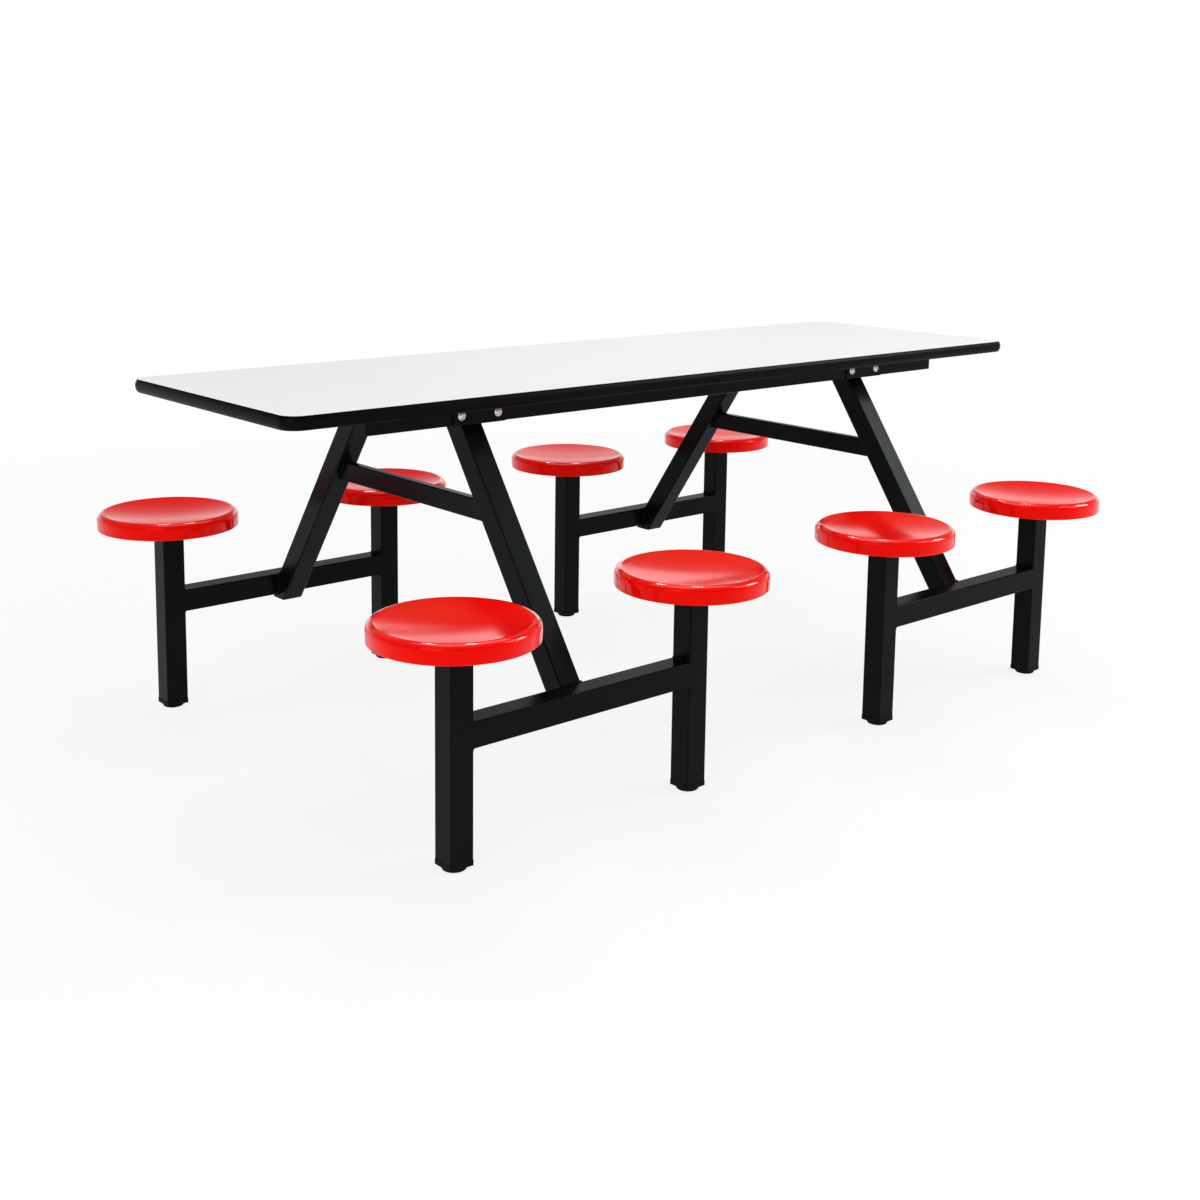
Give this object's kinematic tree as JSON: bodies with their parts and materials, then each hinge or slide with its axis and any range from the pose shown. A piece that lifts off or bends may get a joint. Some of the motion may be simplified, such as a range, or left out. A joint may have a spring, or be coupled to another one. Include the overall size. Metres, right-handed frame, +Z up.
{
  "type": "canteen table with attached swivel seats",
  "caption": "Long canteen table with a pale laminate top, slanted tube frames and round dished swivel seats on square posts along both sides.",
  "frame": {"origin": "on the floor under the middle of the table top", "axes": "+X along the table's length, +Y across it towards the back, +Z up"},
  "size_m": [2, 1.322, 0.75],
  "materials": {
    "laminate": "satin laminate",
    "board": "raw particle board",
    "edge_band": "semi-gloss",
    "frame_paint": "satin powder coat",
    "zinc_steel": "zinc plated",
    "seat_plastic": "gloss",
    "black_plastic": "matte",
    "white_plastic": "matte"
  },
  "bodies": {
    "frame": {"bracket_bolts": "zinc_steel", "bracket_nuts": "zinc_steel", "clamp_plates": "frame_paint", "crossbar_left": "frame_paint", "crossbar_right": "frame_paint", "leg_back_left": "frame_paint", "leg_back_right": "frame_paint", "leg_front_left": "frame_paint", "leg_front_right": "frame_paint", "leg_plates": "frame_paint", "pivot_bushes": "white_plastic", "pivot_housings": "frame_paint", "post_end_caps": "black_plastic", "posts_back_left": "frame_paint", "posts_back_right": "frame_paint", "posts_front_left": "frame_paint", "posts_front_right": "frame_paint", "rail_back": "frame_paint", "rail_end_plugs": "black_plastic", "rail_front": "frame_paint", "seat_bar_back_left": "frame_paint", "seat_bar_back_right": "frame_paint", "seat_bar_front_left": "frame_paint", "seat_bar_front_right": "frame_paint", "table_core": "board", "table_edge_band": "edge_band", "table_laminate": "laminate", "top_screws": "zinc_steel"},
    "seat_front_1": {"seat_shell_front_1": "seat_plastic", "seat_spindle_front_1": "zinc_steel", "seat_fasteners_front_1": "zinc_steel"},
    "seat_front_2": {"seat_shell_front_2": "seat_plastic", "seat_spindle_front_2": "zinc_steel", "seat_fasteners_front_2": "zinc_steel"},
    "seat_front_3": {"seat_shell_front_3": "seat_plastic", "seat_spindle_front_3": "zinc_steel", "seat_fasteners_front_3": "zinc_steel"},
    "seat_front_4": {"seat_shell_front_4": "seat_plastic", "seat_spindle_front_4": "zinc_steel", "seat_fasteners_front_4": "zinc_steel"},
    "seat_back_1": {"seat_shell_back_1": "seat_plastic", "seat_spindle_back_1": "zinc_steel", "seat_fasteners_back_1": "zinc_steel"},
    "seat_back_2": {"seat_shell_back_2": "seat_plastic", "seat_spindle_back_2": "zinc_steel", "seat_fasteners_back_2": "zinc_steel"},
    "seat_back_3": {"seat_shell_back_3": "seat_plastic", "seat_spindle_back_3": "zinc_steel", "seat_fasteners_back_3": "zinc_steel"},
    "seat_back_4": {"seat_shell_back_4": "seat_plastic", "seat_spindle_back_4": "zinc_steel", "seat_fasteners_back_4": "zinc_steel"},
    "foot_front_1": {"foot_front_1": "black_plastic"},
    "foot_front_2": {"foot_front_2": "black_plastic"},
    "foot_front_3": {"foot_front_3": "black_plastic"},
    "foot_front_4": {"foot_front_4": "black_plastic"},
    "foot_back_1": {"foot_back_1": "black_plastic"},
    "foot_back_2": {"foot_back_2": "black_plastic"},
    "foot_back_3": {"foot_back_3": "black_plastic"},
    "foot_back_4": {"foot_back_4": "black_plastic"}
  },
  "joints": [
    {"name": "seat_swivel_front_1", "type": "hinge", "parent": "frame", "child": "seat_front_1", "pos_m": [-0.823, -0.516, 0.4], "axis": [0, 0, 1], "continuous": true},
    {"name": "seat_swivel_front_2", "type": "hinge", "parent": "frame", "child": "seat_front_2", "pos_m": [-0.281, -0.516, 0.4], "axis": [0, 0, 1], "continuous": true},
    {"name": "seat_swivel_front_3", "type": "hinge", "parent": "frame", "child": "seat_front_3", "pos_m": [0.281, -0.516, 0.4], "axis": [0, 0, 1], "continuous": true},
    {"name": "seat_swivel_front_4", "type": "hinge", "parent": "frame", "child": "seat_front_4", "pos_m": [0.823, -0.516, 0.4], "axis": [0, 0, 1], "continuous": true},
    {"name": "seat_swivel_back_1", "type": "hinge", "parent": "frame", "child": "seat_back_1", "pos_m": [-0.823, 0.516, 0.4], "axis": [0, 0, 1], "continuous": true},
    {"name": "seat_swivel_back_2", "type": "hinge", "parent": "frame", "child": "seat_back_2", "pos_m": [-0.281, 0.516, 0.4], "axis": [0, 0, 1], "continuous": true},
    {"name": "seat_swivel_back_3", "type": "hinge", "parent": "frame", "child": "seat_back_3", "pos_m": [0.281, 0.516, 0.4], "axis": [0, 0, 1], "continuous": true},
    {"name": "seat_swivel_back_4", "type": "hinge", "parent": "frame", "child": "seat_back_4", "pos_m": [0.823, 0.516, 0.4], "axis": [0, 0, 1], "continuous": true},
    {"name": "foot_screw_front_1", "type": "slide", "parent": "frame", "child": "foot_front_1", "axis": [0, 0, -1], "range_m": [0, 0.015]},
    {"name": "foot_screw_front_2", "type": "slide", "parent": "frame", "child": "foot_front_2", "axis": [0, 0, -1], "range_m": [0, 0.015]},
    {"name": "foot_screw_front_3", "type": "slide", "parent": "frame", "child": "foot_front_3", "axis": [0, 0, -1], "range_m": [0, 0.015]},
    {"name": "foot_screw_front_4", "type": "slide", "parent": "frame", "child": "foot_front_4", "axis": [0, 0, -1], "range_m": [0, 0.015]},
    {"name": "foot_screw_back_1", "type": "slide", "parent": "frame", "child": "foot_back_1", "axis": [0, 0, -1], "range_m": [0, 0.015]},
    {"name": "foot_screw_back_2", "type": "slide", "parent": "frame", "child": "foot_back_2", "axis": [0, 0, -1], "range_m": [0, 0.015]},
    {"name": "foot_screw_back_3", "type": "slide", "parent": "frame", "child": "foot_back_3", "axis": [0, 0, -1], "range_m": [0, 0.015]},
    {"name": "foot_screw_back_4", "type": "slide", "parent": "frame", "child": "foot_back_4", "axis": [0, 0, -1], "range_m": [0, 0.015]}
  ]
}
